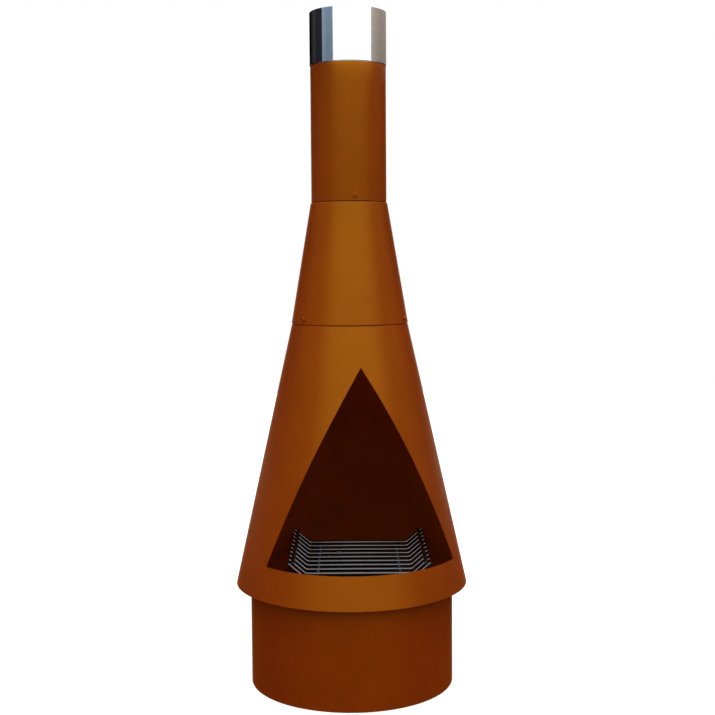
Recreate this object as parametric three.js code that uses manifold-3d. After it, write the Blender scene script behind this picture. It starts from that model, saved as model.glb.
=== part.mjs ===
// A garden chiminea of rolled weathering steel: a base drum, a fire cone with a triangular mouth,
// a smoke cone, a flue pipe and a stainless cap, with a loose rod grate inside.
// Millimetres, +Z up. The origin is on the stove's axis at the floor, and the mouth faces -Y.
import * as THREE from "three";
import { mergeVertices } from "three/addons/utils/BufferGeometryUtils.js";
import Module from "manifold-3d";

const wasm = await Module();
wasm.setup();

// ---- Driving dimensions -------------------------------------------------------------------
const SHEET = 2; // all rolled shells and collars
const PLATE = 3; // flat plates, rings and lugs
const FIT = 0.3; // gap between pieces that touch
const SEGMENTS = 72; // facets round each rolled shell
const SCREW_SEGMENTS = 12; // facets round a screw or a hole
const ROD_SEGMENTS = 10;

const DRUM = { radius: 230, height: 237 };
const FOOT_RING_WIDTH = 25;
const FIRE_CONE = { bottomRadius: 262, topRadius: 130, bottom: 228, top: 816 };
const SMOKE_CONE = { bottomRadius: 131, topRadius: 85.5, bottom: 817, top: 1084.6 };
const PIPE = { radius: 84, bottom: 1085.5, top: 1384 };
const CAP = { radius: 85, wall: 1.5, bottom: 1385.5, top: 1500 };
const SHOULDER = { radius: 3.5, turn: 60, steps: 4 }; // the bend at the top of each cone, in degrees

const MOUTH = { top: 727, bottom: 298.5, halfAngle: 57.5, tipAngle: 0.15 };

// How far a collar reaches above and below its joint, and its outer radius at the joint.
const CONE_COLLAR = { radius: 127.5, above: 27, below: 22 };
const FLUE_COLLAR = { radius: 81.7, above: 27, below: 22 };
const CAP_COLLAR = { radius: 81.4, above: 16, below: 38 };
const SCREW_ABOVE_JOINT = { smokeCone: 10, flue: 12 };
const SMOKE_CONE_SCREWS = [-60, 60, 180]; // degrees round from the mouth
const FLUE_SCREWS = [0, 120, 240];
const HEARTH_BOLTS = [-60, 60, 180];

// Button-head socket screws and their hexagon nuts.
const M6 = { shank: 3, head: 5.25, headHeight: 3.3, socket: 4, length: 12, nutWidth: 10, nutHeight: 5 };
const M8 = { shank: 4, head: 7, headHeight: 4.4, socket: 5, length: 18, nutWidth: 13, nutHeight: 6.5 };
const HOLE_CLEARANCE = 0.35; // on the radius

const LUG = { width: 30, leg: 30 };
const LUG_BOLT_INSET = 16; // bolt centre from the lug's outer face

// The grate lies loose on the hearth, a little to one side and turned against the mouth.
const GRATE = {
  turn: -8.8, // degrees about Z
  shift: 17, // along its bars
  bars: 10,
  pitch: 36.5,
  rodRadius: 4,
  flatHalf: 117.5, // half of the bars' flat middle
  endHalf: 154, // half of the bars' whole width
  flatTop: 278,
  endTop: 310,
  bend: 12,
  runnerOffset: 91,
  runnerRadius: 4,
  railRadius: 3,
  railInset: 8, // along the sloping end of a bar
};

const HEARTH_TOP = DRUM.height + PLATE;

// ---- Finishes -----------------------------------------------------------------------------
const finish = (color, roughness, metalness) =>
  new THREE.MeshStandardMaterial({ color, roughness, metalness });
const RUST_STEEL = finish(0x8f4710, 0.62, 0.25);
const SOOTY_STEEL = finish(0x3a1608, 0.85, 0.1);
const STAINLESS = finish(0xc8cbd0, 0.16, 1);
const ZINC = finish(0x8d8f93, 0.4, 1);
const BLACK_IRON = finish(0x17181b, 0.45, 0.6);

// ---- Solids -------------------------------------------------------------------------------
// A closed geometry as a solid for joining and cutting, and back again.
function solidOf(geometry) {
  const bare = geometry.clone();
  bare.deleteAttribute("normal");
  bare.deleteAttribute("uv");
  const merged = mergeVertices(bare, 1e-3);
  return new wasm.Manifold(
    new wasm.Mesh({
      numProp: 3,
      vertProperties: merged.attributes.position.array,
      triVerts: new Uint32Array(merged.index.array),
    }),
  );
}

function geometryOf(solid) {
  const mesh = solid.getMesh();
  const geometry = new THREE.BufferGeometry();
  geometry.setAttribute("position", new THREE.BufferAttribute(mesh.vertProperties, 3));
  geometry.setIndex(new THREE.BufferAttribute(mesh.triVerts, 1));
  return geometry;
}

function cut(geometry, cutters) {
  const solid = cutters.reduce((rest, cutter) => rest.subtract(solidOf(cutter)), solidOf(geometry));
  return geometryOf(solid);
}

// A ring or disc from a closed outline of [radius, height] corners, turned about Z.
function turned(outline, segments = SEGMENTS) {
  const points = [...outline, outline[0]].map(([r, z]) => new THREE.Vector2(r, z));
  return new THREE.LatheGeometry(points, segments).rotateX(Math.PI / 2);
}

// The outline of a sheet of some thickness whose outer face follows the given [radius, height] points.
function sheetOutline(outer, thickness) {
  const inner = outer.map(([r, z], i) => {
    const [r0, z0] = outer[Math.max(i - 1, 0)];
    const [r1, z1] = outer[Math.min(i + 1, outer.length - 1)];
    const length = Math.hypot(r1 - r0, z1 - z0);
    return [r - (thickness * (z1 - z0)) / length, z + (thickness * (r1 - r0)) / length];
  });
  return [...outer, ...inner.reverse()];
}

// A cone's slope, as the loss of radius for each millimetre of height.
const taper = (cone) => (cone.bottomRadius - cone.topRadius) / (cone.top - cone.bottom);
const radiusAt = (cone, z) => cone.bottomRadius - taper(cone) * (z - cone.bottom);

// The outer face of a cone whose top edge is bent inwards through a small radius.
function coneFace(cone) {
  const slope = Math.atan(taper(cone));
  const turn = THREE.MathUtils.degToRad(SHOULDER.turn);
  const start = cone.top - SHOULDER.radius * Math.sin(turn);
  const points = [[cone.bottomRadius, cone.bottom]];
  for (let i = 0; i <= SHOULDER.steps; i += 1) {
    const angle = slope + ((turn - slope) * i) / SHOULDER.steps;
    points.push([
      radiusAt(cone, start) - SHOULDER.radius * (Math.cos(slope) - Math.cos(angle)),
      start + SHOULDER.radius * (Math.sin(angle) - Math.sin(slope)),
    ]);
  }
  return points;
}

// A geometry made with +Z outwards, moved to a point on a shell: degrees round from the mouth, height
// and radius, tipped up by the wall's slope.
function onWall(geometry, degrees, z, radius, slope = 0) {
  const placed = geometry.clone();
  placed.rotateX(Math.PI / 2 - slope);
  placed.translate(0, -radius, z);
  placed.rotateZ(THREE.MathUtils.degToRad(degrees));
  return placed;
}

// A rod through the origin along Z, long enough to cut a screw's hole through any wall.
function holeCutter(screw) {
  const radius = screw.shank + HOLE_CLEARANCE;
  const length = 40;
  return new THREE.CylinderGeometry(radius, radius, length, SCREW_SEGMENTS).rotateX(Math.PI / 2);
}

// A path through stations, for a rod that is bent in a few places only.
class BentRod extends THREE.Curve {
  constructor(corners, bendRadius) {
    super();
    this.stations = BentRod.stationsOf(corners, bendRadius);
  }

  static stationsOf(corners, bendRadius) {
    const stations = [corners[0]];
    for (let i = 1; i < corners.length - 1; i += 1) {
      const before = corners[i - 1].clone().sub(corners[i]).normalize();
      const after = corners[i + 1].clone().sub(corners[i]).normalize();
      const reach = bendRadius * Math.tan((Math.PI - before.angleTo(after)) / 2);
      const from = corners[i].clone().addScaledVector(before, reach);
      const to = corners[i].clone().addScaledVector(after, reach);
      const bend = new THREE.QuadraticBezierCurve3(from, corners[i], to);
      stations.push(...bend.getPoints(3));
    }
    stations.push(corners[corners.length - 1]);
    return stations;
  }

  get steps() {
    return this.stations.length - 1;
  }

  getUtoTmapping(u) {
    return u;
  }

  getPoint(t) {
    const place = Math.min(t * this.steps, this.steps);
    const index = Math.min(Math.floor(place), this.steps - 1);
    return this.stations[index].clone().lerp(this.stations[index + 1], place - index);
  }

  getTangent(t) {
    const index = Math.round(t * this.steps);
    const here = this.stations[index];
    const tangent = new THREE.Vector3();
    if (index > 0) tangent.add(here.clone().sub(this.stations[index - 1]).normalize());
    if (index < this.steps) tangent.add(this.stations[index + 1].clone().sub(here).normalize());
    return tangent.normalize();
  }
}

function rod(corners, radius, bendRadius) {
  const path = new BentRod(corners, bendRadius);
  const section = new THREE.Shape(
    Array.from({ length: ROD_SEGMENTS }, (_, i) => {
      const angle = (i / ROD_SEGMENTS) * 2 * Math.PI;
      return new THREE.Vector2(radius * Math.cos(angle), radius * Math.sin(angle));
    }),
  );
  return new THREE.ExtrudeGeometry(section, { steps: path.steps, extrudePath: path });
}

// ---- Shells -------------------------------------------------------------------------------
function baseDrum() {
  const face = [
    [DRUM.radius, 0],
    [DRUM.radius, DRUM.height],
  ];
  return turned(sheetOutline(face, SHEET));
}

// A flat ring inside the drum's foot, which keeps it round and spreads the load on the ground.
function baseFootRing() {
  const outer = DRUM.radius - SHEET - FIT;
  const inner = outer - FOOT_RING_WIDTH;
  return turned([
    [inner, 0],
    [outer, 0],
    [outer, PLATE],
    [inner, PLATE],
  ]);
}

// The floor of the firebox, which stands on the drum and closes the fire cone.
function hearthPlate() {
  const wall = SHEET / Math.cos(Math.atan(taper(FIRE_CONE)));
  const radius = radiusAt(FIRE_CONE, HEARTH_TOP) - wall - FIT;
  const disc = turned([
    [0, DRUM.height],
    [radius, DRUM.height],
    [radius, HEARTH_TOP],
    [0, HEARTH_TOP],
  ]);
  const holes = HEARTH_BOLTS.map((degrees) => hearthBoltPlace(holeCutter(M8), degrees, HEARTH_TOP));
  return cut(disc, holes);
}

// The cone's sheet laid out flat is a sector, and the mouth is a straight-sided triangle cut from it.
// A share of 0 is the mouth's top and 1 its bottom edge; the result is the half angle and the height.
function mouthSide(share) {
  const slope = Math.atan(taper(FIRE_CONE));
  const tip = FIRE_CONE.bottom + FIRE_CONE.bottomRadius / Math.tan(slope);
  const slant = (z) => (tip - z) / Math.cos(slope);
  const corner = THREE.MathUtils.degToRad(MOUTH.halfAngle) * Math.sin(slope);
  const from = new THREE.Vector2(0, slant(MOUTH.top));
  const to = new THREE.Vector2(Math.sin(corner), Math.cos(corner)).multiplyScalar(slant(MOUTH.bottom));
  const point = from.lerp(to, share);
  return {
    angle: Math.atan2(point.x, point.y) / Math.sin(slope) + THREE.MathUtils.degToRad(MOUTH.tipAngle),
    z: tip - point.length() * Math.cos(slope),
  };
}

// A curved wedge through the cone's wall, in the shape of the mouth.
function mouthCutter() {
  const reach = 20;
  const wedge = new THREE.BoxGeometry(1, 1, 1, 16, 16, 1);
  const position = wedge.attributes.position;
  for (let i = 0; i < position.count; i += 1) {
    const side = mouthSide(0.5 - position.getY(i));
    const angle = 2 * position.getX(i) * side.angle;
    const radius = radiusAt(FIRE_CONE, side.z) + 2 * reach * position.getZ(i);
    position.setXYZ(i, radius * Math.sin(angle), -radius * Math.cos(angle), side.z);
  }
  return wedge;
}

function fireCone() {
  return cut(turned(sheetOutline(coneFace(FIRE_CONE), SHEET)), [mouthCutter()]);
}

// The collar in the fire cone's top: upright below the joint, and tapered above it like the smoke cone.
function fireConeCollar() {
  const { radius, above, below } = CONE_COLLAR;
  const face = [
    [radius, FIRE_CONE.top - below],
    [radius, FIRE_CONE.top],
    [radius - taper(SMOKE_CONE) * above, FIRE_CONE.top + above],
  ];
  return cut(turned(sheetOutline(face, SHEET)), smokeConeHoles());
}

const smokeSlope = Math.atan(taper(SMOKE_CONE));
const smokeScrewZ = SMOKE_CONE.bottom + SCREW_ABOVE_JOINT.smokeCone;

function smokeConeHoles() {
  const radius = radiusAt(SMOKE_CONE, smokeScrewZ);
  return SMOKE_CONE_SCREWS.map((degrees) =>
    onWall(holeCutter(M6), degrees, smokeScrewZ, radius, smokeSlope),
  );
}

function smokeCone() {
  return cut(turned(sheetOutline(coneFace(SMOKE_CONE), SHEET)), smokeConeHoles());
}

const flueScrewZ = PIPE.bottom + SCREW_ABOVE_JOINT.flue;

function flueHoles() {
  return FLUE_SCREWS.map((degrees) => onWall(holeCutter(M6), degrees, flueScrewZ, PIPE.radius));
}

// An upright collar that fills the joint between two equal tubes.
function collar(radius, wall, bottom, top) {
  const face = [
    [radius, bottom],
    [radius, top],
  ];
  return turned(sheetOutline(face, wall));
}

function smokeConeCollar() {
  const { radius, above, below } = FLUE_COLLAR;
  return cut(collar(radius, SHEET, SMOKE_CONE.top - below, SMOKE_CONE.top + above), flueHoles());
}

function fluePipe() {
  return cut(collar(PIPE.radius, SHEET, PIPE.bottom, PIPE.top), flueHoles());
}

const flueCap = () => collar(CAP.radius, CAP.wall, CAP.bottom, CAP.top);

// The sleeve inside the cap that drops into the flue pipe.
function flueCapCollar() {
  const { radius, above, below } = CAP_COLLAR;
  return collar(radius, CAP.wall, CAP.bottom - below, CAP.bottom + above);
}

// ---- Fasteners ----------------------------------------------------------------------------
// A socket screw with its head on z = 0 and its shank pointing down.
function screw(size) {
  const dome = [
    [size.head, 0],
    [size.head, size.headHeight * 0.25],
    [size.head * 0.86, size.headHeight * 0.7],
    [size.head * 0.6, size.headHeight],
  ];
  const shank = [
    [0, -size.length],
    [size.shank, -size.length],
    [size.shank, 0],
  ];
  const socketRadius = size.socket / Math.sqrt(3);
  const socket = new THREE.CylinderGeometry(socketRadius, socketRadius, size.headHeight, 6);
  socket.rotateX(Math.PI / 2);
  socket.translate(0, 0, size.headHeight);
  return cut(turned([...shank, ...dome, [0, size.headHeight]], SCREW_SEGMENTS), [socket]);
}

// A hexagon nut whose face is on z = 0 and whose body lies below.
function nut(size) {
  const radius = size.nutWidth / Math.sqrt(3);
  const body = new THREE.CylinderGeometry(radius, radius, size.nutHeight, 6).rotateX(Math.PI / 2);
  body.translate(0, 0, -size.nutHeight / 2);
  return cut(body, [holeCutter(size)]);
}

// ---- Hearth lugs --------------------------------------------------------------------------
const lugFace = Math.sqrt((DRUM.radius - SHEET - FIT) ** 2 - (LUG.width / 2) ** 2) - FIT;

function hearthBoltPlace(geometry, degrees, z) {
  const placed = geometry.clone();
  placed.translate(0, LUG_BOLT_INSET - lugFace, z);
  return placed.rotateZ(THREE.MathUtils.degToRad(degrees));
}

// An angle bracket inside the drum, with one leg on its wall and one under the hearth.
function hearthLug(degrees) {
  const top = DRUM.height - FIT;
  const upright = new THREE.BoxGeometry(LUG.width, PLATE, LUG.leg);
  upright.translate(0, PLATE / 2 - lugFace, top - LUG.leg / 2);
  const flat = new THREE.BoxGeometry(LUG.width, LUG.leg, PLATE);
  flat.translate(0, LUG.leg / 2 - lugFace, top - PLATE / 2);
  const joined = geometryOf(solidOf(upright).add(solidOf(flat)));
  joined.rotateZ(THREE.MathUtils.degToRad(degrees));
  return cut(joined, [hearthBoltPlace(holeCutter(M8), degrees, top)]);
}

// ---- Grate --------------------------------------------------------------------------------
const rodPoint = (x, z) => new THREE.Vector3(x, 0, z);
const grateSlope = Math.atan2(GRATE.endTop - GRATE.flatTop, GRATE.endHalf - GRATE.flatHalf);

// One bar, flat in the middle and turned up at both ends.
function grateBar() {
  const flat = GRATE.flatTop - GRATE.rodRadius;
  const end = GRATE.endTop - GRATE.rodRadius;
  const corners = [
    rodPoint(-GRATE.endHalf, end),
    rodPoint(-GRATE.flatHalf, flat),
    rodPoint(GRATE.flatHalf, flat),
    rodPoint(GRATE.endHalf, end),
  ];
  return rod(corners, GRATE.rodRadius, GRATE.bend);
}

// A rod under the bars, bent down at both ends into feet.
function grateRunner() {
  const height = GRATE.flatTop - 2 * GRATE.rodRadius - GRATE.runnerRadius - FIT;
  const half = ((GRATE.bars - 2) * GRATE.pitch) / 2;
  const corners = [
    new THREE.Vector3(0, -half, HEARTH_TOP),
    new THREE.Vector3(0, -half, height),
    new THREE.Vector3(0, half, height),
    new THREE.Vector3(0, half, HEARTH_TOP),
  ];
  return rod(corners, GRATE.runnerRadius, GRATE.bend * 0.8);
}

// A straight rod across the turned-up ends of the bars.
function grateRail() {
  const length = (GRATE.bars - 1) * GRATE.pitch + 2 * GRATE.rodRadius;
  return new THREE.CylinderGeometry(GRATE.railRadius, GRATE.railRadius, length, ROD_SEGMENTS);
}

// ---- Assembly -----------------------------------------------------------------------------
function piece(name, geometry, material) {
  const mesh = new THREE.Mesh(geometry, material);
  mesh.name = name;
  return mesh;
}

function base() {
  const group = new THREE.Group();
  group.add(
    piece("base_drum", baseDrum(), RUST_STEEL),
    piece("base_foot_ring", baseFootRing(), RUST_STEEL),
    piece("hearth_plate", hearthPlate(), SOOTY_STEEL),
  );
  HEARTH_BOLTS.forEach((degrees, i) => {
    const bolt = hearthBoltPlace(screw(M8), degrees, HEARTH_TOP);
    const underLug = DRUM.height - PLATE - 2 * FIT;
    group.add(
      piece(`hearth_lug_${i + 1}`, hearthLug(degrees), RUST_STEEL),
      piece(`hearth_bolt_${i + 1}`, bolt, ZINC),
      piece(`hearth_nut_${i + 1}`, hearthBoltPlace(nut(M8), degrees, underLug), ZINC),
    );
  });
  return group;
}

function body() {
  const group = new THREE.Group();
  group.add(
    piece("fire_cone", fireCone(), RUST_STEEL),
    piece("fire_cone_collar", fireConeCollar(), SOOTY_STEEL),
    piece("smoke_cone", smokeCone(), RUST_STEEL),
    piece("smoke_cone_collar", smokeConeCollar(), SOOTY_STEEL),
    piece("flue_pipe", fluePipe(), RUST_STEEL),
  );
  const smokeWall = radiusAt(SMOKE_CONE, smokeScrewZ);
  const smokeBack = CONE_COLLAR.radius - taper(SMOKE_CONE) * (smokeScrewZ - FIRE_CONE.top) - SHEET;
  group.add(
    ...screwRing("smoke_cone", SMOKE_CONE_SCREWS, smokeScrewZ, smokeWall, smokeBack, smokeSlope),
    ...screwRing("flue", FLUE_SCREWS, flueScrewZ, PIPE.radius, FLUE_COLLAR.radius - SHEET, 0),
  );
  return group;
}

// The screws round a joint, from the shell's outer face at one radius to the collar's inner face at
// another, and the nuts behind them.
function screwRing(name, places, z, wall, back, slope) {
  return places.flatMap((degrees, i) => {
    const head = screw(M6).translate(0, 0, FIT);
    const nutBody = nut(M6).translate(0, 0, (back - wall) * Math.cos(slope) - 2 * FIT);
    return [
      piece(`${name}_screw_${i + 1}`, onWall(head, degrees, z, wall, slope), RUST_STEEL),
      piece(`${name}_nut_${i + 1}`, onWall(nutBody, degrees, z, wall, slope), ZINC),
    ];
  });
}

function cap() {
  const group = new THREE.Group();
  group.add(
    piece("flue_cap", flueCap(), STAINLESS),
    piece("flue_cap_collar", flueCapCollar(), STAINLESS),
  );
  return group;
}

function grate() {
  const group = new THREE.Group();
  group.rotation.z = THREE.MathUtils.degToRad(GRATE.turn);
  group.position.set(
    GRATE.shift * Math.cos(group.rotation.z),
    GRATE.shift * Math.sin(group.rotation.z),
    0,
  );
  for (let i = 0; i < GRATE.bars; i += 1) {
    const bar = piece(`grate_bar_${String(i + 1).padStart(2, "0")}`, grateBar(), BLACK_IRON);
    bar.position.y = (i - (GRATE.bars - 1) / 2) * GRATE.pitch;
    group.add(bar);
  }
  const railLift = GRATE.rodRadius + GRATE.railRadius + FIT;
  const railX = GRATE.endHalf - GRATE.railInset * Math.cos(grateSlope) - railLift * Math.sin(grateSlope);
  const barEnd = GRATE.endTop - GRATE.rodRadius;
  const railZ = barEnd - GRATE.railInset * Math.sin(grateSlope) + railLift * Math.cos(grateSlope);
  for (const [side, sign] of [["left", -1], ["right", 1]]) {
    const runner = piece(`grate_runner_${side}`, grateRunner(), BLACK_IRON);
    runner.position.x = sign * GRATE.runnerOffset;
    const rail = piece(`grate_rail_${side}`, grateRail(), BLACK_IRON);
    rail.position.set(sign * railX, 0, railZ);
    group.add(runner, rail);
  }
  return group;
}

const chiminea = new THREE.Group();
chiminea.add(base(), body(), cap(), grate());

export default chiminea;
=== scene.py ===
"""Looks of a rolled steel chiminea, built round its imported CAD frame. Metres, +Z up, mouth towards -Y."""

import math

import bmesh
import bpy
from mathutils import Matrix, Vector, noise


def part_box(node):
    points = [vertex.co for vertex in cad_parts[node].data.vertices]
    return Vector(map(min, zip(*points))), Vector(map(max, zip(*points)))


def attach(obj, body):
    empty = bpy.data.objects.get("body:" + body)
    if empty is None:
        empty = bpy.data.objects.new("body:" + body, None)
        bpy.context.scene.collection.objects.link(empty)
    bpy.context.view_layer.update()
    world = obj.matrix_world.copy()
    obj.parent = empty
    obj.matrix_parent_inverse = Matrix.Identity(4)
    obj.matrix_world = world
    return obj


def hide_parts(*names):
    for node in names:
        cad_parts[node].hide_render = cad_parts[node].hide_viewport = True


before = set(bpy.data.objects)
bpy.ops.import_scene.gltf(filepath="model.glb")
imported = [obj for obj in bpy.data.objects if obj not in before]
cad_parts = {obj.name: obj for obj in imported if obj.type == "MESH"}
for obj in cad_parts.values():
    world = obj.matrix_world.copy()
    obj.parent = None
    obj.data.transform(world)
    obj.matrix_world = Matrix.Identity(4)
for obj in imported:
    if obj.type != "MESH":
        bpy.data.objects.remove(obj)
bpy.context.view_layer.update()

# ---- Sizes that the frame's boxes don't give ------------------------------------------------
SHEET = 0.002
CAP_SHEET = 0.0015
SHOULDER = 0.0035  # bend at the top of each cone
SHOULDER_TURN = math.radians(60)
FIRE_CONE_TOP = (0.130, 0.816)  # radius and height that the straight face runs up to
SMOKE_CONE_TOP = (0.0855, 1.0846)
MOUTH_TOP = 0.727
MOUTH_BOTTOM = 0.2985
MOUTH_HALF_ANGLE = math.radians(57.5)
EDGE = 0.0005  # rounding of a cut sheet edge
STEP = 0.012  # distance between rings on a shell
SEGMENTS = 192
HOLLOW_SIZE = 0.16  # slight hollows of a rolled sheet
HOLLOW_DEPTH = 0.0002
CAP_HOLLOW_DEPTH = 0.00004
SEAM_AZIMUTH = math.pi  # the weld seams are at the back

M6 = {"shank": 0.003, "pitch": 0.001, "head": 0.00525, "rise": 0.0033, "key": 0.004, "length": 0.012}
M8 = {"shank": 0.004, "pitch": 0.00125, "head": 0.007, "rise": 0.0044, "key": 0.005, "length": 0.018}
M6_NUT = {"width": 0.010, "height": 0.005, "bore": 0.003}
M8_NUT = {"width": 0.013, "height": 0.0065, "bore": 0.004}
SCREW_SIDES = 48

GRATE_TURN = math.radians(-8.8)
GRATE_SHIFT = 0.017
GRATE_PITCH = 0.0365
GRATE_BARS = 10
BAR_RADIUS = 0.004
BAR_FLAT_HALF = 0.1175
BAR_END_HALF = 0.154
BAR_FLAT_Z = 0.274
BAR_END_Z = 0.306
BAR_BEND = 0.013
RUNNER_OFFSET = 0.091
RUNNER_BEND = 0.00975
RAIL_RADIUS = 0.003
RAIL_INSET = 0.008

CAMERA_TURN = math.radians(8.8)
CAMERA_DISTANCE = 2.693
CAMERA_HEIGHT = 0.954
CAMERA_PITCH = math.radians(4.60)
CAMERA_ROLL = math.radians(-0.41)
CAMERA_LENS = 60.17
CAMERA_SHIFT = 0.01046


# ---- Mesh helpers ---------------------------------------------------------------------------
def low(node):
    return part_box(node)[0]


def high(node):
    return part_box(node)[1]


def add_piece(name, verts, faces, materials, pick=None):
    """A smooth-shaded mesh object; pick gives each face its material's index."""
    mesh = bpy.data.meshes.new(name)
    mesh.from_pydata([tuple(v) for v in verts], [], faces)
    for material in materials:
        mesh.materials.append(material)
    work = bmesh.new()
    work.from_mesh(mesh)
    bmesh.ops.recalc_face_normals(work, faces=work.faces)
    for face in work.faces:
        face.smooth = True
        if pick:
            face.material_index = pick(face)
    work.to_mesh(mesh)
    work.free()
    piece = bpy.data.objects.new(name, mesh)
    bpy.context.scene.collection.objects.link(piece)
    return piece


def weight_normals(piece):
    modifier = piece.modifiers.new("weighted normals", "WEIGHTED_NORMAL")
    modifier.weight = 100
    modifier.keep_sharp = True


def place(piece, body, slot, *replaced):
    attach(piece, body)
    if replaced:
        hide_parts(*replaced)
    return piece


def rounded(outline, radius, steps=3):
    """A closed outline of (radius, height) points with its corners rounded off."""
    points = []
    count = len(outline)
    for i in range(count):
        corner = Vector(outline[i])
        before = Vector(outline[i - 1]) - corner
        after = Vector(outline[(i + 1) % count]) - corner
        turn = math.pi - before.angle(after)
        if turn < math.radians(25):
            points.append(corner)
            continue
        reach = min(radius * math.tan(turn / 2), before.length * 0.45, after.length * 0.45)
        start, end = corner + before.normalized() * reach, corner + after.normalized() * reach
        for k in range(steps + 1):
            t = k / steps
            points.append(start * (1 - t) ** 2 + corner * 2 * t * (1 - t) + end * t**2)
    return points


def divided(outline, step):
    """A closed outline whose long stretches are split evenly."""
    points = []
    for i, here in enumerate(outline):
        after = outline[(i + 1) % len(outline)]
        parts = max(1, round((after - here).length / step))
        points += [here.lerp(after, k / parts) for k in range(parts)]
    return points


def sheet_outline(face, thickness):
    """The closed outline of a sheet whose outer face follows (radius, height) points."""
    inner = []
    for i, (r, z) in enumerate(face):
        r0, z0 = face[max(i - 1, 0)]
        r1, z1 = face[min(i + 1, len(face) - 1)]
        length = math.hypot(r1 - r0, z1 - z0)
        inner.append((r - thickness * (z1 - z0) / length, z + thickness * (r1 - r0) / length))
    return list(face) + inner[::-1]


def around(radius, azimuth, z):
    """A point at an angle round from the mouth, positive towards +X."""
    return Vector((radius * math.sin(azimuth), -radius * math.cos(azimuth), z))


def facing_axis(face):
    centre = face.calc_center_median()
    outwards = Vector((centre.x, centre.y, 0)).normalized()
    return int(face.normal.dot(outwards) < -0.5)


def unevenness(point, depth=HOLLOW_DEPTH):
    """Slight hollows of a rolled sheet, which only ever lie inside its true face."""
    return -depth * (0.5 + 0.5 * noise.noise(point / HOLLOW_SIZE))


def revolve(name, outline, materials, hollow=HOLLOW_DEPTH):
    """A ring turned from a closed outline, with rounded edges; its inner face takes the second material."""
    profile = divided(rounded(outline, EDGE), STEP)
    verts, faces = [], []
    for column in range(SEGMENTS):
        azimuth = 2 * math.pi * column / SEGMENTS
        for r, z in profile:
            offset = unevenness(around(r, azimuth, z), hollow)
            verts.append(around(r + offset, azimuth, z))
    count = len(profile)
    for column in range(SEGMENTS):
        this, other = column * count, (column + 1) % SEGMENTS * count
        for i in range(count):
            j = (i + 1) % count
            faces.append((this + i, other + i, other + j, this + j))
    piece = add_piece(name, verts, faces, materials, facing_axis if len(materials) > 1 else None)
    weight_normals(piece)
    return piece


# ---- Shader nodes ---------------------------------------------------------------------------
def feed(tree, socket, value):
    """Links a node's output to a socket, or sets the socket to a plain value."""
    if isinstance(value, bpy.types.NodeSocket):
        tree.links.new(value, socket)
    else:
        socket.default_value = value


def maths(tree, operation, *inputs):
    node = tree.nodes.new("ShaderNodeMath")
    node.operation = operation
    for socket, value in zip(node.inputs, inputs):
        feed(tree, socket, value)
    return node.outputs[0]


def mixed(tree, factor, first, second, blend="MIX"):
    node = tree.nodes.new("ShaderNodeMix")
    node.data_type = "RGBA"
    node.blend_type = blend
    for socket, value in zip((node.inputs["Factor"], *node.inputs[6:8]), (factor, first, second)):
        feed(tree, socket, value)
    return node.outputs[2]


def ramped(tree, factor, *stops):
    """A colour ramp; stops are (place, colour) pairs, and a number stands for a grey."""
    node = tree.nodes.new("ShaderNodeValToRGB")
    elements = node.color_ramp.elements
    while len(elements) < len(stops):
        elements.new(0.5)
    for element, (position, colour) in zip(elements, stops):
        element.position = position
        element.color = (*colour, 1) if isinstance(colour, tuple) else (colour,) * 3 + (1,)
    feed(tree, node.inputs["Fac"], factor)
    return node.outputs["Color"]


def round_about(tree, rightwards, frontwards, *stops):
    """A colour ramp round an upright axis; stops are (degrees right of the front, colour) pairs."""
    turn = maths(tree, "ARCTAN2", rightwards, frontwards)
    share = maths(tree, "MULTIPLY_ADD", turn, 1 / (2 * math.pi), 0.5)
    return ramped(tree, share, *[(degrees / 360 + 0.5, colour) for degrees, colour in stops])


# ---- Materials ------------------------------------------------------------------------------
class Finish:
    """A node material, with its pattern placed in the object's own frame."""

    def __init__(self, name, **sockets):
        self.material = bpy.data.materials.new(name)
        self.material.use_nodes = True
        self.tree = self.material.node_tree
        self.shader = self.tree.nodes["Principled BSDF"]
        for socket, value in sockets.items():
            self.shader.inputs[socket.replace("_", " ")].default_value = value
        self.place = self.tree.nodes.new("ShaderNodeTexCoord").outputs["Object"]

    def link(self, source, target):
        self.tree.links.new(source, target)
        return self

    def noise(self, scale, detail=4.0, rough=0.55, stretch=(1, 1, 1)):
        mapping = self.tree.nodes.new("ShaderNodeMapping")
        mapping.inputs["Scale"].default_value = stretch
        texture = self.tree.nodes.new("ShaderNodeTexNoise")
        texture.inputs["Scale"].default_value = scale
        texture.inputs["Detail"].default_value = detail
        texture.inputs["Roughness"].default_value = rough
        self.link(self.place, mapping.inputs["Vector"]).link(mapping.outputs[0], texture.inputs["Vector"])
        return texture.outputs["Fac"]

    def axis(self, letter):
        split = self.tree.nodes.new("ShaderNodeSeparateXYZ")
        self.link(self.place, split.inputs[0])
        return split.outputs[letter]

    def from_centre(self):
        """Distance from the upright axis."""
        x, y = self.axis("X"), self.axis("Y")
        squares = self.maths("ADD", self.maths("MULTIPLY", x, x), self.maths("MULTIPLY", y, y))
        return self.maths("SQRT", squares)

    def maths(self, operation, *inputs):
        return maths(self.tree, operation, *inputs)

    def ramp(self, factor, *stops):
        return ramped(self.tree, factor, *stops)

    def mix(self, factor, first, second, blend="MIX"):
        return mixed(self.tree, factor, first, second, blend)

    def bump(self, *layers):
        """layers are (height, distance) pairs, the coarsest first."""
        normal = None
        for height, distance in layers:
            node = self.tree.nodes.new("ShaderNodeBump")
            node.inputs["Strength"].default_value = 1.0
            node.inputs["Distance"].default_value = distance
            self.link(height, node.inputs["Height"])
            if normal:
                self.link(normal, node.inputs["Normal"])
            normal = node.outputs["Normal"]
        self.link(normal, self.shader.inputs["Normal"])

    def colour(self, source):
        self.link(source, self.shader.inputs["Base Color"])

    def roughness(self, source):
        self.link(source, self.shader.inputs["Roughness"])


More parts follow.
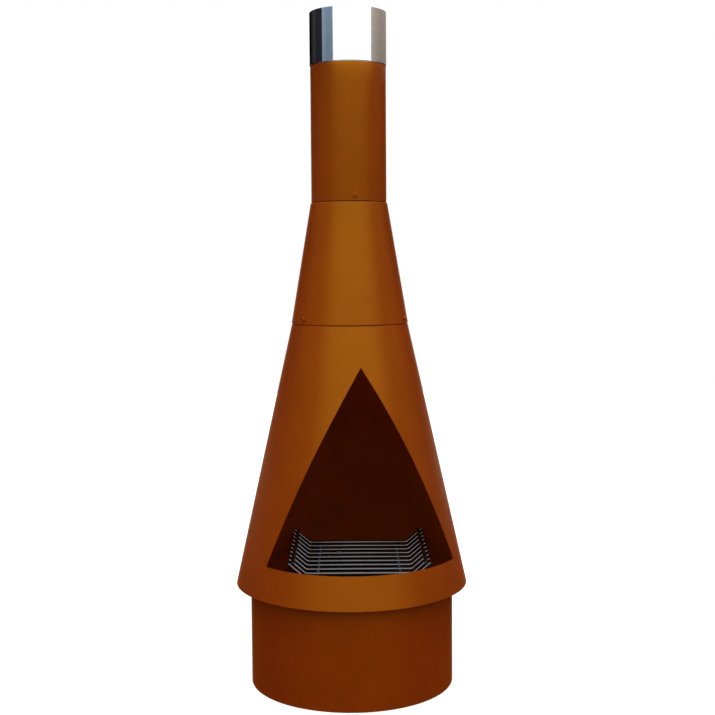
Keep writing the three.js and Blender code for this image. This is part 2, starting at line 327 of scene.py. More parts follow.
def rust_finish(name, dark, middle, light, roughness, IOR=1.76, smoke=None):
    """A fine-grained rust-brown coat: soft clouds, small speckle and a slight orange peel.

    smoke is a height ramp of painted light and shade: how far the coat is darkened or brightened at each
    height, as (metres, brightness) pairs.
    """
    coat = Finish(
        name, IOR=IOR, Specular_IOR_Level=1.0, Specular_Tint=(1.0, 0.53, 0.032, 1),
        Sheen_Weight=0.30, Sheen_Roughness=0.45, Sheen_Tint=(1.0, 0.22, 0.0, 1),
    )
    clouds = coat.ramp(coat.noise(7, 5, 0.6), (0.30, dark), (0.52, middle), (0.75, light))
    speckle = coat.ramp(coat.noise(900, 3, 0.7), (0.30, 0.80), (0.55, 1.0), (0.78, 1.16))
    blotch = coat.ramp(coat.noise(60, 6, 0.65), (0.30, 0.93), (0.70, 1.06))
    shade = coat.mix(1.0, coat.mix(1.0, clouds, blotch, "MULTIPLY"), speckle, "MULTIPLY")
    # The height ramp multiplies painted light and shade into the coat's colour.
    if smoke:
        shade = coat.mix(1.0, shade, coat.ramp(coat.axis("Z"), *smoke), "MULTIPLY")
    coat.colour(shade)
    low_rough, high_rough = roughness
    coat.roughness(coat.ramp(coat.noise(140, 5, 0.6), (0.30, low_rough), (0.70, high_rough)))
    coat.bump((coat.noise(420, 3, 0.5), 0.00012), (coat.noise(1500, 2, 0.6), 0.00006))
    return coat.material


def steel_finish(name, tint, roughness, stretch):
    """Bright stainless steel with fine lines running round it."""
    steel = Finish(name, Metallic=1.0)
    lines = steel.noise(260, 6, 0.7, stretch)
    steel.colour(steel.ramp(lines, (0.25, tuple(c * 0.93 for c in tint)), (0.75, tint)))
    low_rough, high_rough = roughness
    steel.roughness(steel.ramp(steel.noise(40, 5, 0.6, stretch), (0.30, low_rough), (0.70, high_rough)))
    steel.bump((lines, 0.00002))
    return steel.material


def black_finish(name):
    """Blackened steel rod with a gloss on it and faint drawing lines."""
    black = Finish(name, Metallic=1.0)
    dark, light = (0.125, 0.128, 0.135), (0.19, 0.195, 0.205)
    black.colour(black.ramp(black.noise(300, 5, 0.6), (0.30, dark), (0.72, light)))
    black.roughness(black.ramp(black.noise(200, 4, 0.6), (0.30, 0.15), (0.70, 0.24)))
    black.bump((black.noise(900, 3, 0.6), 0.00002))
    return black.material


def shaded_plate_finish(name, shade_radius=0.135, brown_radius=0.165):
    """A plate black in its middle as painted shade under the grate, with paler ash worked into it, and brown
    towards its rim.
    """
    plate_coat = Finish(name, Specular_IOR_Level=0.1)
    ash = plate_coat.ramp(plate_coat.noise(38, 8, 0.68), (0.42, 0.0), (0.74, 1.0))
    # Painted shade: near-black in the plate's middle, under the grate.
    shade_black = plate_coat.ramp(
        plate_coat.noise(170, 6, 0.7), (0.30, (0.0050, 0.0042, 0.0038)), (0.72, (0.0130, 0.0100, 0.0085))
    )
    brown = plate_coat.ramp(
        plate_coat.noise(26, 6, 0.65), (0.30, (0.230, 0.0330, 0.0035)), (0.70, (0.350, 0.0500, 0.0055))
    )
    ragged = plate_coat.maths("MULTIPLY_ADD", plate_coat.noise(11, 5, 0.6), 0.06, plate_coat.from_centre())
    rim = plate_coat.ramp(ragged, (shade_radius + 0.03, 0.0), (brown_radius + 0.03, 1.0))
    plate_coat.colour(plate_coat.mix(rim, plate_coat.mix(ash, shade_black, (0.030, 0.026, 0.023, 1)), brown))
    plate_coat.roughness(plate_coat.ramp(plate_coat.noise(90, 5, 0.6), (0.30, 0.72), (0.70, 0.92)))
    plate_coat.bump((plate_coat.noise(60, 6, 0.6), 0.0005), (plate_coat.noise(600, 4, 0.6), 0.0001))
    return plate_coat.material


def zinc_finish(name):
    zinc = Finish(name, Metallic=1.0)
    zinc.colour(zinc.ramp(zinc.noise(350, 5, 0.6), (0.30, (0.38, 0.39, 0.40)), (0.70, (0.56, 0.57, 0.58))))
    zinc.roughness(zinc.ramp(zinc.noise(500, 4, 0.6), (0.30, 0.28), (0.70, 0.48)))
    zinc.bump((zinc.noise(1800, 2, 0.6), 0.00002))
    return zinc.material


RUST = rust_finish(
    "rust_coat", (0.310, 0.0290, 0.0012), (0.350, 0.0345, 0.0015), (0.390, 0.0405, 0.0018),
    roughness=(0.36, 0.43),
)
# The inside faces' coat, with painted light and shade by height: dark low in the fire cone, brightest by the
# mouth's top, dark again above it.
INSIDE_LIGHT_AND_SHADE = rust_finish(
    "inside_light_and_shade_coat", (0.50, 0.066, 0.0055), (0.65, 0.090, 0.0070), (0.78, 0.110, 0.0090),
    roughness=(0.60, 0.78), IOR=1.3,
    smoke=((0.24, 0.40), (0.45, 0.52), (0.60, 0.85), (0.68, 1.25), (0.74, 1.15), (0.92, 0.30)),
)
SEAM = rust_finish(
    "seam_coat", (0.250, 0.0220, 0.0012), (0.300, 0.0270, 0.0015), (0.350, 0.0330, 0.0019),
    roughness=(0.38, 0.50),
)
STAINLESS = steel_finish("stainless", (0.78, 0.79, 0.81), (0.035, 0.075), (1, 1, 9))
STAINLESS_INSIDE = steel_finish("stainless_inside", (0.50, 0.48, 0.46), (0.22, 0.36), (1, 1, 9))
BLACK = black_finish("blackened_rod")
ZINC = zinc_finish("zinc_plate")
# The hearth plate's coat: black in its middle as painted shade under the grate, brown towards its rim.
SHADED_PLATE = shaded_plate_finish("plate_painted_shade")


# ---- Rolled shells --------------------------------------------------------------------------
class Cone:
    """The outer face of a rolled cone and the bent-in edge at its top."""

    def __init__(self, node, top):
        self.bottom, self.bottom_radius = low(node).z, high(node).x
        self.top_radius, self.top = top
        self.taper = (self.bottom_radius - self.top_radius) / (self.top - self.bottom)
        self.slope = math.atan(self.taper)

    def radius(self, z):
        return self.bottom_radius - self.taper * (z - self.bottom)

    def shoulder(self, steps=8):
        start = self.top - SHOULDER * math.sin(SHOULDER_TURN)
        points = []
        for i in range(steps + 1):
            angle = self.slope + (SHOULDER_TURN - self.slope) * i / steps
            inwards = SHOULDER * (math.cos(self.slope) - math.cos(angle))
            upwards = SHOULDER * (math.sin(angle) - math.sin(self.slope))
            points.append((self.radius(start) - inwards, start + upwards))
        return points

    def face(self):
        return [(self.bottom_radius, self.bottom), *self.shoulder()]


FIRE_CONE = Cone("fire_cone", FIRE_CONE_TOP)
SMOKE_CONE = Cone("smoke_cone", SMOKE_CONE_TOP)


def tube_face(node):
    radius = high(node).x
    return [(radius, low(node).z), (radius, high(node).z)]


def mouth_half_angle(z):
    """Half the mouth's angle at a height: its sides are straight on the cone's unrolled sheet."""
    if z >= MOUTH_TOP:
        return 0.0
    tip = FIRE_CONE.bottom + FIRE_CONE.bottom_radius / FIRE_CONE.taper

    def slant(height):
        return (tip - height) / math.cos(FIRE_CONE.slope)

    corner = MOUTH_HALF_ANGLE * math.sin(FIRE_CONE.slope)
    apex = Vector((0, slant(MOUTH_TOP)))
    side = Vector((math.sin(corner), math.cos(corner))) * slant(MOUTH_BOTTOM) - apex
    side.normalize()
    lean = apex.dot(side)
    along = -lean + math.sqrt(lean**2 + slant(z) ** 2 - apex.length_squared)
    point = apex + side * along
    return math.atan2(point.x, point.y) / math.sin(FIRE_CONE.slope)


def fire_cone():
    """The cone as one grid that fans out round the mouth, with a band below the lip."""
    columns, band_columns = 180, 84
    rows, rows_above, band_rows = 54, 7, 7
    verts, faces, index = [], [], {}

    def vertex(key, r, azimuth, z):
        if key not in index:
            index[key] = len(verts)
            verts.append(around(r + unevenness(around(r, azimuth, z)), azimuth, z))
        return index[key]

    levels = [MOUTH_BOTTOM + (MOUTH_TOP - MOUTH_BOTTOM) * i / rows for i in range(rows)]
    levels.append(MOUTH_TOP)
    shoulder = FIRE_CONE.shoulder()
    start = shoulder[0][1]
    levels += [MOUTH_TOP + (start - MOUTH_TOP) * i / rows_above for i in range(1, rows_above)]
    rings = [(FIRE_CONE.radius(z), z) for z in levels] + shoulder

    def grid_vertex(row, column):
        r, z = rings[row]
        if row >= rows:
            column %= columns
        half = mouth_half_angle(z) if row else MOUTH_HALF_ANGLE
        azimuth = half + (2 * math.pi - 2 * half) * column / columns
        return vertex(("upper", row, column), r, azimuth, z)

    for row in range(len(rings) - 1):
        for column in range(columns):
            corners = [
                grid_vertex(row, column), grid_vertex(row, column + 1),
                grid_vertex(row + 1, column + 1), grid_vertex(row + 1, column),
            ]
            faces.append(tuple(dict.fromkeys(corners)))

    total = columns + band_columns

    def band_vertex(level, column):
        column %= total
        if level == band_rows and column <= columns:
            return grid_vertex(0, column)
        z = FIRE_CONE.bottom + (MOUTH_BOTTOM - FIRE_CONE.bottom) * level / band_rows
        if column <= columns:
            azimuth = MOUTH_HALF_ANGLE + (2 * math.pi - 2 * MOUTH_HALF_ANGLE) * column / columns
        else:
            azimuth = -MOUTH_HALF_ANGLE + 2 * MOUTH_HALF_ANGLE * (column - columns) / band_columns
        return vertex(("band", level, column), FIRE_CONE.radius(z), azimuth, z)

    for level in range(band_rows):
        for column in range(total):
            faces.append((
                band_vertex(level, column), band_vertex(level, column + 1),
                band_vertex(level + 1, column + 1), band_vertex(level + 1, column),
            ))

    piece = add_piece("fire_cone_sheet", verts, faces, [RUST, INSIDE_LIGHT_AND_SHADE])
    solid = piece.modifiers.new("sheet", "SOLIDIFY")
    solid.thickness = SHEET
    solid.offset = -1
    solid.use_even_offset = True
    # The sheet's inside faces take the coat with painted light and shade.
    solid.material_offset = 1
    solid.material_offset_rim = 0
    bevel = piece.modifiers.new("cut edges", "BEVEL")
    bevel.width = EDGE
    bevel.segments = 2
    bevel.limit_method = "ANGLE"
    bevel.angle_limit = math.radians(50)
    bevel.miter_outer = "MITER_ARC"
    weight_normals(piece)
    return place(piece, "stove", "rust_steel", "fire_cone")


def shells():
    drum = revolve("drum_sheet", sheet_outline(tube_face("base_drum"), SHEET), [RUST, SEAM])
    place(drum, "stove", "rust_steel", "base_drum")
    # The smoke cone's and the pipe's inside faces take the coat with painted light and shade.
    smoke = revolve("smoke_cone_sheet", sheet_outline(SMOKE_CONE.face(), SHEET), [RUST, INSIDE_LIGHT_AND_SHADE])
    place(smoke, "stove", "rust_steel", "smoke_cone")
    pipe = revolve("flue_pipe_sheet", sheet_outline(tube_face("flue_pipe"), SHEET), [RUST, INSIDE_LIGHT_AND_SHADE])
    place(pipe, "stove", "rust_steel", "flue_pipe")
    outline = sheet_outline(tube_face("flue_cap"), CAP_SHEET)
    cap = revolve("cap_tube", outline, [STAINLESS, STAINLESS_INSIDE], hollow=CAP_HOLLOW_DEPTH)
    place(cap, "cap", "stainless", "flue_cap")


def plates_and_collars():
    """The foot ring, the collars inside the joints and the cap's sleeve."""
    lowest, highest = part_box("base_foot_ring")
    inner = min(math.hypot(v.co.x, v.co.y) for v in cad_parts["base_foot_ring"].data.vertices)
    ring = [(inner, lowest.z), (highest.x, lowest.z), (highest.x, highest.z), (inner, highest.z)]
    place(revolve("foot_ring", ring, [SEAM], hollow=0), "stove", "rust_steel", "base_foot_ring")

    lowest, highest = low("fire_cone_collar"), high("fire_cone_collar")
    radius, bottom, bend, top = highest.x, lowest.z, FIRE_CONE.top, highest.z
    face = [(radius, bottom), (radius, bend), (radius - SMOKE_CONE.taper * (top - bend), top)]
    # The collars take the coat with painted light and shade.
    collar = revolve("fire_cone_ring", sheet_outline(face, SHEET), [INSIDE_LIGHT_AND_SHADE])
    place(collar, "stove", "sooty_steel", "fire_cone_collar")

    collar = revolve("smoke_cone_ring", sheet_outline(tube_face("smoke_cone_collar"), SHEET), [INSIDE_LIGHT_AND_SHADE])
    place(collar, "stove", "sooty_steel", "smoke_cone_collar")

    outline = sheet_outline(tube_face("flue_cap_collar"), CAP_SHEET)
    sleeve = revolve("cap_sleeve", outline, [STAINLESS_INSIDE], hollow=CAP_HOLLOW_DEPTH)
    place(sleeve, "cap", "stainless", "flue_cap_collar")


def weld_seam(name, path, width=0.0042, height=0.0007, ripple=0.0016):
    """A rippled weld bead along a straight line on a shell's back, from one (radius, height) to another."""
    (r0, z0), (r1, z1) = path
    length = math.hypot(r1 - r0, z1 - z0)
    outwards = Vector(((z1 - z0) / length, (r0 - r1) / length))
    stations = round(length / ripple) * 3
    across = 9
    verts, faces = [], []
    for i in range(stations + 1):
        for j in range(across):
            side = 2 * j / (across - 1) - 1
            along = min(max(i / stations - (1 - side**2) * ripple / length, 0.0), 1.0)
            phase = (i / 3) % 1
            rise = height * math.sqrt(1 - side**2) * (0.70 + 0.30 * phase) - 0.0002
            r = r0 + (r1 - r0) * along + outwards.x * rise
            z = z0 + (z1 - z0) * along + outwards.y * rise
            sway = 0.0003 * noise.noise(Vector((0, i * 0.11, z0)))
            verts.append(around(r, SEAM_AZIMUTH + (side * width / 2 + sway) / r, z))
    for i in range(stations):
        for j in range(across - 1):
            a = i * across + j
            faces.append((a, a + 1, a + across + 1, a + across))
    back = len(verts)
    for i in range(stations + 1):
        for j in (0, across - 1):
            verts.append(verts[i * across + j] - Vector((0, outwards.x, outwards.y)) * 0.0008)
    for i in range(stations):
        a, b = i * across, back + 2 * i
        faces.append((a, a + across, b + 2, b))
        faces.append((a + across - 1, b + 1, b + 3, a + 2 * across - 1))
        faces.append((b, b + 2, b + 3, b + 1))
    for i in (0, stations):
        rim = [i * across + j for j in range(across)]
        faces.append((*rim, back + 2 * i + 1, back + 2 * i))
    return add_piece(name, verts, faces, [SEAM])


def seams():
    inset, above_edge = 0.0008, 0.003

    def cone_line(cone):
        bottom = cone.bottom + above_edge
        return (cone.radius(bottom), bottom), cone.shoulder()[0]

    for name, (first, last) in (
        ("drum_seam", tube_face("base_drum")),
        ("fire_cone_seam", cone_line(FIRE_CONE)),
        ("smoke_cone_seam", cone_line(SMOKE_CONE)),
        ("flue_pipe_seam", tube_face("flue_pipe")),
    ):
        start, end = Vector(first), Vector(last)
        gap = (end - start).normalized() * inset
        place(weld_seam(name, (tuple(start + gap), tuple(end - gap))), "stove", "rust_steel")


# ---- Fasteners ------------------------------------------------------------------------------
def hexagon(width, angle):
    """Distance from a hexagon's centre to its side at an angle."""
    sixth = math.pi / 3
    return width / 2 / math.cos((angle + sixth / 2) % sixth - sixth / 2)


def ringed(rings, sides=SCREW_SIDES, capped=(True, True)):
    """Vertices and faces of a stack of rings, each a function from angle to (radius, height)."""
    verts, faces = [], []
    for ring in rings:
        for k in range(sides):
            angle = 2 * math.pi * k / sides
            radius, z = ring(angle)
            verts.append(Vector((radius * math.cos(angle), radius * math.sin(angle), z)))
    for i in range(len(rings) - 1):
        for k in range(sides):
            other = (k + 1) % sides
            faces.append((i * sides + k, i * sides + other, (i + 1) * sides + other, (i + 1) * sides + k))
    if capped[0]:
        faces.append(tuple(range(sides))[::-1])
    if capped[1]:
        last = (len(rings) - 1) * sides
        faces.append(tuple(last + k for k in range(sides)))
    return verts, faces


def thread_ring(radius, depth, pitch, z):
    """One ring of a screw thread: its depth winds round with the angle."""

    def ring(angle):
        phase = (z / pitch + angle / (2 * math.pi)) % 1
        return radius - depth * abs(2 * phase - 1), z

    return ring


def plain_ring(radius, z):
    return lambda angle: (radius, z)


def hex_ring(width, z, limit=1.0):
    return lambda angle: (min(hexagon(width, angle), limit), z)


def socket_screw(size):
    """A button-head socket screw, its head on z = 0 and its threaded shank below."""
    shank, head, rise, key = size["shank"], size["head"], size["rise"], size["key"]
    tip = -size["length"]
    steps = round(size["length"] / size["pitch"]) * 8
    rings = [plain_ring(shank * 0.78, tip), plain_ring(shank * 0.82, tip + 0.0002)]
    pitch, depth = size["pitch"], size["pitch"] * 0.55
    for i in range(1, steps):
        rings.append(thread_ring(shank, depth, pitch, tip + size["length"] * i / steps))
    rings += [plain_ring(shank * 0.98, -0.0001), plain_ring(head * 0.97, 0.0), plain_ring(head, 0.0002)]
    rings.append(plain_ring(head, rise * 0.2))
    flat = head * 0.58
    for i in range(1, 13):
        angle = math.radians(90) * i / 12
        rings.append(plain_ring(flat + (head - flat) * math.cos(angle), rise * (0.2 + 0.8 * math.sin(angle))))
    floor = rise * 0.35
    rings += [
        hex_ring(key * 1.06, rise),
        hex_ring(key, rise - 0.00015),
        hex_ring(key, floor + 0.0001),
        hex_ring(key * 0.94, floor),
        plain_ring(key * 0.20, floor - 0.0004),
    ]
    return ringed(rings)


def hexagon_nut(size):
    """A chamfered hexagon nut with its face on z = 0 and its body below."""
    width, height, bore = size["width"], size["height"], size["bore"]
    corner = width / math.sqrt(3)
    flat, chamfer = width / 2 * 0.95, 0.000605
    outer, bottom = [], []
    for drop in (0.0, 0.25, 0.5, 0.75, 1.0):
        limit = flat + (corner - flat) * drop
        outer.append(hex_ring(width, -chamfer * drop, limit))
        bottom.insert(0, hex_ring(width, chamfer * drop - height, limit))
    clear = bore + 0.0003
    rings = [plain_ring(clear, -0.0004), plain_ring(clear + 0.0004, 0.0), *outer, *bottom]
    rings += [plain_ring(clear + 0.0004, -height), plain_ring(clear, 0.0004 - height)]
    verts, faces = ringed(rings, capped=(False, False))
    last = (len(rings) - 1) * SCREW_SIDES
    for k in range(SCREW_SIDES):
        other = (k + 1) % SCREW_SIDES
        faces.append((last + k, last + other, other, k))
    return verts, faces


def seat(node, azimuth, slope, depth):
    """Places a part made with +Z outwards, its z = 0 at a depth outwards of the node's centre."""
    lowest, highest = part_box(node)
    centre = (lowest + highest) / 2
    turn = Matrix.Rotation(azimuth, 4, "Z") @ Matrix.Rotation(math.pi / 2 - slope, 4, "X")
    return Matrix.Translation(centre) @ turn @ Matrix.Translation((0, 0, depth))


def fastener(node, shape, placing, material, slot):
    verts, faces = shape
    piece = add_piece(f"{node}_part", [placing @ v for v in verts], faces, [material])
    weight_normals(piece)
    place(piece, "stove", slot, node)


def fasteners():
    screw, nut = socket_screw(M6), hexagon_nut(M6_NUT)
    middle_of_screw = (M6["length"] - M6["rise"]) / 2
    for name, slope, places in (
        ("smoke_cone", SMOKE_CONE.slope, (-60, 60, 180)),
        ("flue", 0.0, (0, 120, 240)),
    ):
        for i, degrees in enumerate(places, 1):
            azimuth = math.radians(degrees)
            screw_place = seat(f"{name}_screw_{i}", azimuth, slope, middle_of_screw)
            fastener(f"{name}_screw_{i}", screw, screw_place, RUST, "rust_steel")
            nut_place = seat(f"{name}_nut_{i}", azimuth, slope, M6_NUT["height"] / 2)
            fastener(f"{name}_nut_{i}", nut, nut_place, ZINC, "zinc")
    bolt, nut = socket_screw(M8), hexagon_nut(M8_NUT)
    for i in (1, 2, 3):
        hearth_fixings = (f"hearth_bolt_{i}", bolt, -M8["rise"]), (f"hearth_nut_{i}", nut, 0.0)
        for node, shape, top in hearth_fixings:
            lowest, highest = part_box(node)
            centre = (lowest + highest) / 2
            placing = Matrix.Translation((centre.x, centre.y, highest.z + top))
            fastener(node, shape, placing, ZINC, "zinc")


def hearth():
    """The hearth plate keeps its CAD shape; the lugs get worked edges."""
    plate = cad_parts["hearth_plate"]
    # The plate takes a coat that is black in its middle as painted shade under the grate.
    plate.data.materials[0] = SHADED_PLATE
    for i in (1, 2, 3):
        node = f"hearth_lug_{i}"
        piece = bpy.data.objects.new(f"{node}_bracket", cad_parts[node].data.copy())
        bpy.context.scene.collection.objects.link(piece)
        piece.data.materials[0] = SEAM
        bevel = piece.modifiers.new("edges", "BEVEL")
        bevel.width = 0.0006
        bevel.segments = 2
        bevel.limit_method = "ANGLE"
        bevel.angle_limit = math.radians(40)
        place(piece, "stove", "rust_steel", node)


# ---- Grate ----------------------------------------------------------------------------------
ALONG_X, ALONG_Y = Vector((1, 0, 0)), Vector((0, 1, 0))


def bent_path(corners, bend, steps=8):
    """A path through corners, each rounded by an arc with the bend's radius."""
    points = [corners[0]]
    for i in range(1, len(corners) - 1):
        before = (corners[i - 1] - corners[i]).normalized()
        after = (corners[i + 1] - corners[i]).normalized()
        turn = math.pi - before.angle(after)
        reach = bend * math.tan(turn / 2)
        centre = corners[i] + (before + after).normalized() * bend / math.cos(turn / 2)
        arm = corners[i] + before * reach - centre
        axis = before.cross(after).normalized()
        points += [centre + Matrix.Rotation(-turn * k / steps, 3, axis) @ arm for k in range(steps + 1)]
    return [*points, corners[-1]]


def rod(name, corners, radius, bend, across, placing, node, sides=24):
    """A round rod along a flat bent path, with rounded cut ends; across is square to the path's plane."""
    path = bent_path(corners, bend)
    tangents = []
    for i in range(len(path)):
        span = path[min(i + 1, len(path) - 1)] - path[max(i - 1, 0)]
        tangents.append(span.normalized())
    edge = radius * 0.16

    def end_stations(point, tangent, inwards):
        steps = (0.0, radius - edge), (edge * 0.35, radius - edge * 0.3), (edge, radius)
        return [(point + inwards * depth, tangent, size) for depth, size in steps]

    stations = end_stations(path[0], tangents[0], tangents[0])
    stations += [(point, tangent, radius) for point, tangent in zip(path[1:-1], tangents[1:-1])]
    stations += end_stations(path[-1], tangents[-1], -tangents[-1])[::-1]
    verts, faces = [], []
    for point, tangent, size in stations:
        up = tangent.cross(across)
        for k in range(sides):
            angle = 2 * math.pi * k / sides
            verts.append(placing @ (point + across * size * math.cos(angle) + up * size * math.sin(angle)))
    for i in range(len(stations) - 1):
        for k in range(sides):
            other = (k + 1) % sides
            faces.append((i * sides + k, i * sides + other, (i + 1) * sides + other, (i + 1) * sides + k))
    faces.append(tuple(range(sides)))
    faces.append(tuple(len(verts) - sides + k for k in range(sides)))
    piece = add_piece(name, verts, faces, [BLACK])
    weight_normals(piece)
    place(piece, "grate", "black_iron", node)


def weld_drop(centre, size, placing, verts, faces, seed):
    """Adds a small uneven weld drop to lists of vertices and faces."""
    rings, sides = 7, 14
    start = len(verts)
    for i in range(rings + 1):
        tilt = math.pi * (i + 0.02) / (rings + 0.04)
        for k in range(sides):
            angle = 2 * math.pi * k / sides
            way = Matrix.Rotation(angle, 3, "Z") @ Vector((math.sin(tilt), 0, math.cos(tilt)))
            swell = 1 + 0.22 * noise.noise(way * 1.7 + Vector((seed, 0, 0)))
            verts.append(placing @ (centre + way * Vector(size) * swell))
    for i in range(rings):
        for k in range(sides):
            other = (k + 1) % sides
            a, b = start + i * sides, start + (i + 1) * sides
            faces.append((a + k, a + other, b + other, b + k))
    faces.append(tuple(start + k for k in range(sides)))
    faces.append(tuple(start + rings * sides + k for k in range(sides)))


def grate():
    turn = Matrix.Rotation(GRATE_TURN, 4, "Z")
    slope = math.atan2(BAR_END_Z - BAR_FLAT_Z, BAR_END_HALF - BAR_FLAT_HALF)
    rows = [(i - (GRATE_BARS - 1) / 2) * GRATE_PITCH for i in range(GRATE_BARS)]
    placing = turn @ Matrix.Translation((GRATE_SHIFT, 0, 0))
    for i, y in enumerate(rows, 1):
        corners = [
            Vector((-BAR_END_HALF, y, BAR_END_Z)), Vector((-BAR_FLAT_HALF, y, BAR_FLAT_Z)),
            Vector((BAR_FLAT_HALF, y, BAR_FLAT_Z)), Vector((BAR_END_HALF, y, BAR_END_Z)),
        ]
        name = f"{i:02d}"
        rod(f"grate_rod_{name}", corners, BAR_RADIUS, BAR_BEND, ALONG_Y, placing, f"grate_bar_{name}")
    lift = BAR_RADIUS + RAIL_RADIUS
    rail_x = BAR_END_HALF - RAIL_INSET * math.cos(slope) - lift * math.sin(slope)
    rail_z = BAR_END_Z - RAIL_INSET * math.sin(slope) + lift * math.cos(slope)
    rail_half = rows[-1] + BAR_RADIUS
    runner_z = BAR_FLAT_Z - 2 * BAR_RADIUS
    runner_half = rows[-2]
    foot_z = low("grate_runner_left").z
    verts, faces = [], []
    for side, sign in (("left", -1), ("right", 1)):
        rail = [Vector((sign * rail_x, y, rail_z)) for y in (-rail_half, rail_half)]
        rod(f"grate_end_rail_{side}", rail, RAIL_RADIUS, BAR_BEND, ALONG_X, placing, f"grate_rail_{side}")
        runner_x = sign * RUNNER_OFFSET
        runner = [
            Vector((runner_x, -runner_half, foot_z)), Vector((runner_x, -runner_half, runner_z)),
            Vector((runner_x, runner_half, runner_z)), Vector((runner_x, runner_half, foot_z)),
        ]
        node = f"grate_runner_{side}"
        rod(f"grate_foot_rod_{side}", runner, BAR_RADIUS, RUNNER_BEND, ALONG_X, placing, node)
        for i, y in enumerate(rows):
            joint = Vector((sign * (rail_x + 0.0021), y, rail_z - 0.0028))
            weld_drop(joint, (0.0030, 0.0034, 0.0026), placing, verts, faces, i + 20 * sign)
            if 0 < i < GRATE_BARS - 1:
                under = Vector((runner_x, y, BAR_FLAT_Z - BAR_RADIUS))
                weld_drop(under, (0.0046, 0.0042, 0.0022), placing, verts, faces, i + 50 * sign)
    place(add_piece("grate_welds", verts, faces, [BLACK]), "grate", "black_iron")


# ---- Studio ---------------------------------------------------------------------------------
def camera():
    data = bpy.data.cameras.new("camera")
    data.sensor_width = 36
    data.lens = CAMERA_LENS
    data.shift_x = CAMERA_SHIFT
    eye = bpy.data.objects.new("camera", data)
    bpy.context.scene.collection.objects.link(eye)
    turn = Matrix.Rotation(-CAMERA_TURN, 4, "Z")
    spot = Matrix.Translation(turn @ Vector((0, -CAMERA_DISTANCE, CAMERA_HEIGHT)))
    tilt = Matrix.Rotation(math.pi / 2 - CAMERA_PITCH, 4, "X") @ Matrix.Rotation(CAMERA_ROLL, 4, "Z")
    eye.matrix_world = spot @ turn @ tilt
    bpy.context.scene.camera = eye


def studio_surround():
    """A studio with a wide white panel in front, warm side walls, a bright ceiling and a pale backdrop.

    The walls fade out from 30 degrees above the horizon to 5 below it. The camera sees plain white.
    """
    world = bpy.data.worlds.new("studio")
    bpy.context.scene.world = world
    world.use_nodes = True
    tree = world.node_tree
    new, link = tree.nodes.new, tree.links.new
    background = tree.nodes["Background"]
    way = new("ShaderNodeTexCoord").outputs["Generated"]

    def along(axis):
        node = new("ShaderNodeVectorMath")
        node.operation = "DOT_PRODUCT"
        node.inputs[1].default_value = axis
        link(way, node.inputs[0])
        return node.outputs["Value"]

    def between(value, start, end):
        node = new("ShaderNodeMapRange")
        node.interpolation_type = "SMOOTHSTEP"
        node.inputs["From Min"].default_value = start
        node.inputs["From Max"].default_value = end
        link(value, node.inputs["Value"])
        return node.outputs[0]

    towards = Vector((-math.sin(CAMERA_TURN), -math.cos(CAMERA_TURN), 0))
    rightwards = Vector((math.cos(CAMERA_TURN), -math.sin(CAMERA_TURN), 0))
    right, front = along(rightwards), along(towards)
    rise = maths(tree, "MULTIPLY", maths(tree, "ARCSINE", along(Vector((0, 0, 1)))), 180 / math.pi)
    sides = round_about(
        tree, right, front,
        (-180, 0.05), (-120, 0.05), (-95, (0.70, 0.56, 0.26)), (-70, (0.50, 0.40, 0.18)),
        (-51, (0.50, 0.42, 0.25)), (-44, 1.58), (57, 1.58), (66, (0.36, 0.29, 0.14)),
        (80, (0.50, 0.39, 0.17)), (98, (1.0, 0.78, 0.34)), (112, (0.55, 0.43, 0.18)),
        (126, 0.05), (180, 0.05),
    )
    behind = round_about(
        tree, right, front, (-180, 1.0), (-164, 1.0), (-156, 0.0), (156, 0.0), (164, 1.0), (180, 1.0)
    )
    room = mixed(tree, between(rise, -5, 30), (0, 0, 0, 1), sides)
    room = mixed(tree, maths(tree, "MULTIPLY", behind, between(rise, -30, -5)), room, (0.85, 0.85, 0.85, 1))
    room = mixed(tree, between(rise, 30, 50), room, (0.90, 0.90, 0.90, 1))
    room = mixed(tree, between(rise, 58, 72), room, (1.5, 1.5, 1.5, 1))
    ray = new("ShaderNodeLightPath").outputs
    bounced = mixed(tree, between(rise, -2, -10), room, (0.20, 0.20, 0.20, 1))
    room = mixed(tree, ray["Is Diffuse Ray"], room, bounced)
    link(mixed(tree, ray["Is Camera Ray"], room, (1, 1, 1, 1)), background.inputs["Color"])


def glow(name, *stops, lowest=0.0, lift=1.0):
    """A mottled light that changes round the axis, for faces seen from their front.

    Its brightness grows to lift times as much over the 130 mm above the lowest height.
    """
    light = Finish(name)
    backwards = light.maths("MULTIPLY", light.axis("Y"), -1.0)
    bands = round_about(light.tree, light.axis("X"), backwards, *stops)
    mottle = light.ramp(light.noise(70, 5, 0.65), (0.30, 0.88), (0.70, 1.12))
    upwards = light.ramp(light.maths("SUBTRACT", light.axis("Z"), lowest), (0.0, 1.0), (0.13, lift))
    shade = light.mix(1.0, light.mix(1.0, bands, mottle, "MULTIPLY"), upwards, "MULTIPLY")
    new = light.tree.nodes.new
    emission, facing = new("ShaderNodeEmission"), new("ShaderNodeNewGeometry")
    shown = new("ShaderNodeMixShader")
    light.link(shade, emission.inputs["Color"])
    light.link(facing.outputs["Backfacing"], shown.inputs[0]).link(emission.outputs[0], shown.inputs[1])
    light.link(new("ShaderNodeBsdfTransparent").outputs[0], shown.inputs[2])
    light.tree.nodes.remove(light.shader)
    light.link(shown.outputs[0], light.tree.nodes["Material Output"].inputs["Surface"])
    return light.material


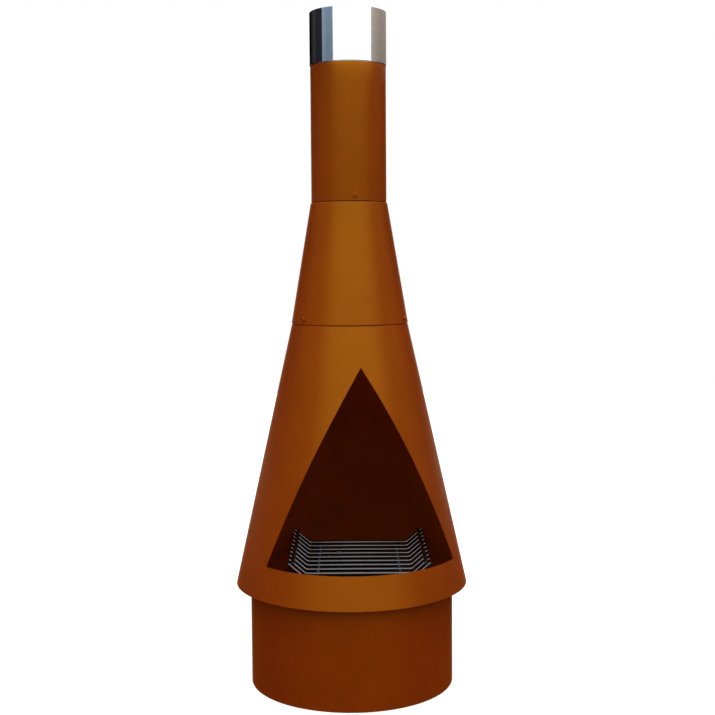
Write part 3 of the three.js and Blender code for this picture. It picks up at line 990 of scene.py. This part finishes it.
def card(name, profile, material, sides=96):
    """A surface turned from (radius, height) points that only shows in reflections."""
    verts = []
    for r, z in profile:
        for k in range(sides):
            angle = 2 * math.pi * k / sides
            verts.append((r * math.sin(angle), r * math.cos(angle), z))
    faces = []
    for row in range(len(profile) - 1):
        this, after = row * sides, (row + 1) * sides
        for k in range(sides):
            other = (k + 1) % sides
            faces.append((this + k, this + other, after + other, after + k))
    mesh = bpy.data.meshes.new(name)
    mesh.from_pydata(verts, [], faces)
    mesh.materials.append(material)
    ring = bpy.data.objects.new(name, mesh)
    bpy.context.scene.collection.objects.link(ring)
    ring.matrix_world = Matrix.Rotation(-CAMERA_TURN, 4, "Z")
    ring.visible_camera = ring.visible_diffuse = ring.visible_shadow = False


def cards():
    """What the cap mirrors: a banded cup open upwards round it, and for the rest a far floor."""
    cup_radius, cup_height, gap, drop = 0.2, 0.29, 0.008, 0.010
    cup_foot = low("flue_cap").z - drop
    neck = high("flue_cap").x + gap
    cup = (neck, cup_foot), (cup_radius, cup_foot), (cup_radius, cup_foot + cup_height)
    card("mirror_bands", cup, glow(
        "mirror_bands",
        (-180, 0.85), (-152, 0.85), (-145, 0.0), (-122, 0.0), (-112, 0.018),
        (-106, (0.026, 0.022, 0.024)), (-94, (0.044, 0.036, 0.037)), (-90, (0.015, 0.016, 0.020)),
        (-67, (0.018, 0.021, 0.027)),
        (-65, (0.25, 0.31, 0.38)), (-52, (0.17, 0.23, 0.30)), (-35.7, (0.185, 0.245, 0.325)), (-34.6, 1.35),
        (57.7, 1.35), (59, (0.45, 0.395, 0.355)), (73, (0.35, 0.295, 0.245)), (97, (0.285, 0.235, 0.19)),
        (136, (0.30, 0.25, 0.21)), (145, 0.20), (152, 0.85), (180, 0.85),
        lowest=cup_foot + 0.025, lift=1.3,
    ))
    card("far_floor", ((4.0, 0.0), (14.0, 0.0)), glow(
        "far_floor",
        (-180, 0.42), (-150, 0.20), (-120, 0.48), (-90, 0.26), (-60, 0.50), (-30, 0.24), (0, 0.38),
        (30, 0.52), (60, 0.24), (90, 0.48), (120, 0.26), (150, 0.52), (180, 0.42),
    ))


def floor():
    """A pale floor that takes the stove's soft shadow."""
    size = 6.0
    corners = [(-size, -size, 0), (size, -size, 0), (size, size, 0), (-size, size, 0)]
    finish = bpy.data.materials.new("pale_floor")
    finish.use_nodes = True
    shader = finish.node_tree.nodes["Principled BSDF"]
    shader.inputs["Base Color"].default_value = (0.85, 0.85, 0.85, 1)
    shader.inputs["Roughness"].default_value = 0.9
    shader.inputs["Emission Color"].default_value = (1, 1, 1, 1)
    shader.inputs["Emission Strength"].default_value = 0.62
    mesh = bpy.data.meshes.new("floor")
    mesh.from_pydata(corners, [], [(0, 1, 2, 3)])
    mesh.materials.append(finish)
    ground = bpy.data.objects.new("floor", mesh)
    bpy.context.scene.collection.objects.link(ground)
    ground.visible_glossy = False
    ground.visible_diffuse = False


fire_cone()
shells()
plates_and_collars()
seams()
fasteners()
hearth()
grate()
camera()
studio_surround()
cards()
floor()
bpy.context.scene.view_settings.view_transform = "Standard"
